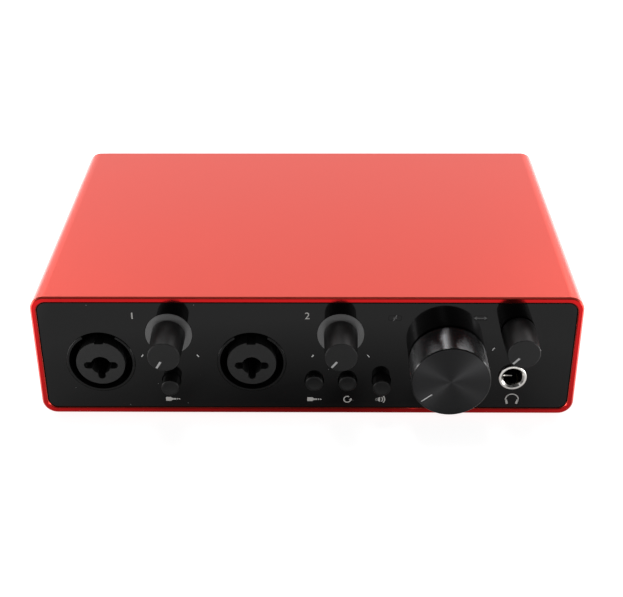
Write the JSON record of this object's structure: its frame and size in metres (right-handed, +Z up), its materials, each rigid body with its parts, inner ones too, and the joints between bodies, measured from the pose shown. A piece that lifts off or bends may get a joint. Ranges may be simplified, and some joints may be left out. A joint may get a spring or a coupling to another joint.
{
  "type": "audio interface",
  "caption": "Flat desktop audio interface: aluminium sleeve, glossy front with combined sockets, knobs, latching buttons and a headphone socket.",
  "frame": {"origin": "middle of the footprint, on the surface that the feet stand on", "axes": "+X to the right as the user faces the front, +Y to the rear, +Z up"},
  "size_m": [0.175, 0.1316, 0.0463],
  "materials": {
    "sleeve_red": "anodised, fine satin",
    "foot_rubber": "matt",
    "gloss_black": "polished",
    "moulded_black": "moulded, fine texture",
    "knob_black": "satin",
    "turned_black": "turned, black anodised",
    "panel_steel": "satin black",
    "screw_steel": "plain",
    "bright_metal": "plated",
    "contact_metal": "plated",
    "light_guide": "translucent, unlit",
    "board_green": "solder mask",
    "can_metal": "sleeved can",
    "part_grey": "moulded"
  },
  "bodies": {
    "case": {"sleeve": "sleeve_red", "foot_front_left": "foot_rubber", "foot_front_right": "foot_rubber", "foot_rear_left": "foot_rubber", "foot_rear_right": "foot_rubber", "front_panel": "gloss_black", "front_frame": "moulded_black", "combo_shell_1": "moulded_black", "combo_shell_2": "moulded_black", "combo_insert_1": "moulded_black", "combo_insert_2": "moulded_black", "headphone_jack": "moulded_black", "line_out_jack_left": "moulded_black", "line_out_jack_right": "moulded_black", "line_out_nut_left": "moulded_black", "line_out_nut_right": "moulded_black", "usb_tongue": "moulded_black", "board_link_header": "moulded_black", "rear_panel": "panel_steel", "front_frame_screws": "screw_steel", "rear_panel_screws": "screw_steel", "control_board_screws": "screw_steel", "headphone_ring": "bright_metal", "usb_shell": "bright_metal", "combo_contacts_1": "contact_metal", "combo_contacts_2": "contact_metal", "headphone_contact": "contact_metal", "line_out_contacts": "contact_metal", "halo_ring_1": "light_guide", "halo_ring_2": "light_guide", "indicator_lenses": "light_guide", "main_board": "board_green", "control_board": "board_green", "capacitors": "can_metal", "chips": "part_grey", "panel_leds": "part_grey", "gain_pot_1": "part_grey", "gain_pot_2": "part_grey", "phones_pot": "part_grey", "monitor_pot": "part_grey", "inst_1_switch": "part_grey", "inst_2_switch": "part_grey", "loopback_switch": "part_grey", "direct_monitor_switch": "part_grey", "phantom_switch": "part_grey"},
    "gain_control_1": {"gain_knob_1": "knob_black", "gain_shaft_1": "screw_steel"},
    "gain_control_2": {"gain_knob_2": "knob_black", "gain_shaft_2": "screw_steel"},
    "phones_control": {"phones_knob": "knob_black", "phones_shaft": "screw_steel"},
    "monitor_control": {"monitor_knob": "gloss_black", "monitor_knob_disc": "turned_black", "monitor_shaft": "screw_steel"},
    "inst_1_key": {"inst_1_button": "knob_black"},
    "inst_2_key": {"inst_2_button": "knob_black"},
    "loopback_key": {"loopback_button": "knob_black"},
    "direct_monitor_key": {"direct_monitor_button": "knob_black"},
    "phantom_key": {"phantom_button": "knob_black"}
  },
  "joints": [
    {"name": "gain_1_turn", "type": "hinge", "parent": "case", "child": "gain_control_1", "pos_m": [-0.0441, -0.0523, 0.0326], "axis": [0, 1, 0], "range_deg": [-2, 298]},
    {"name": "gain_2_turn", "type": "hinge", "parent": "case", "child": "gain_control_2", "pos_m": [0.0109, -0.0523, 0.0326], "axis": [0, 1, 0], "range_deg": [-9, 291]},
    {"name": "phones_turn", "type": "hinge", "parent": "case", "child": "phones_control", "pos_m": [0.0673, -0.0523, 0.0339], "axis": [0, 1, 0], "range_deg": [-13, 287]},
    {"name": "monitor_turn", "type": "hinge", "parent": "case", "child": "monitor_control", "pos_m": [0.0454, -0.0523, 0.0232], "axis": [0, 1, 0], "range_deg": [-21.5, 278.5]},
    {"name": "inst_1_press", "type": "slide", "parent": "case", "child": "inst_1_key", "axis": [0, 1, 0], "range_m": [0, 0.003], "stiffness_N_per_m": 600},
    {"name": "direct_monitor_press", "type": "slide", "parent": "case", "child": "direct_monitor_key", "axis": [0, 1, 0], "range_m": [0, 0.003], "stiffness_N_per_m": 600},
    {"name": "inst_2_press", "type": "slide", "parent": "case", "child": "inst_2_key", "axis": [0, 1, 0], "range_m": [-0.0026, 0.0004]},
    {"name": "loopback_press", "type": "slide", "parent": "case", "child": "loopback_key", "axis": [0, 1, 0], "range_m": [-0.0026, 0.0004]},
    {"name": "phantom_press", "type": "slide", "parent": "case", "child": "phantom_key", "axis": [0, -1, 0], "range_m": [0, 0.003], "stiffness_N_per_m": 600}
  ]
}
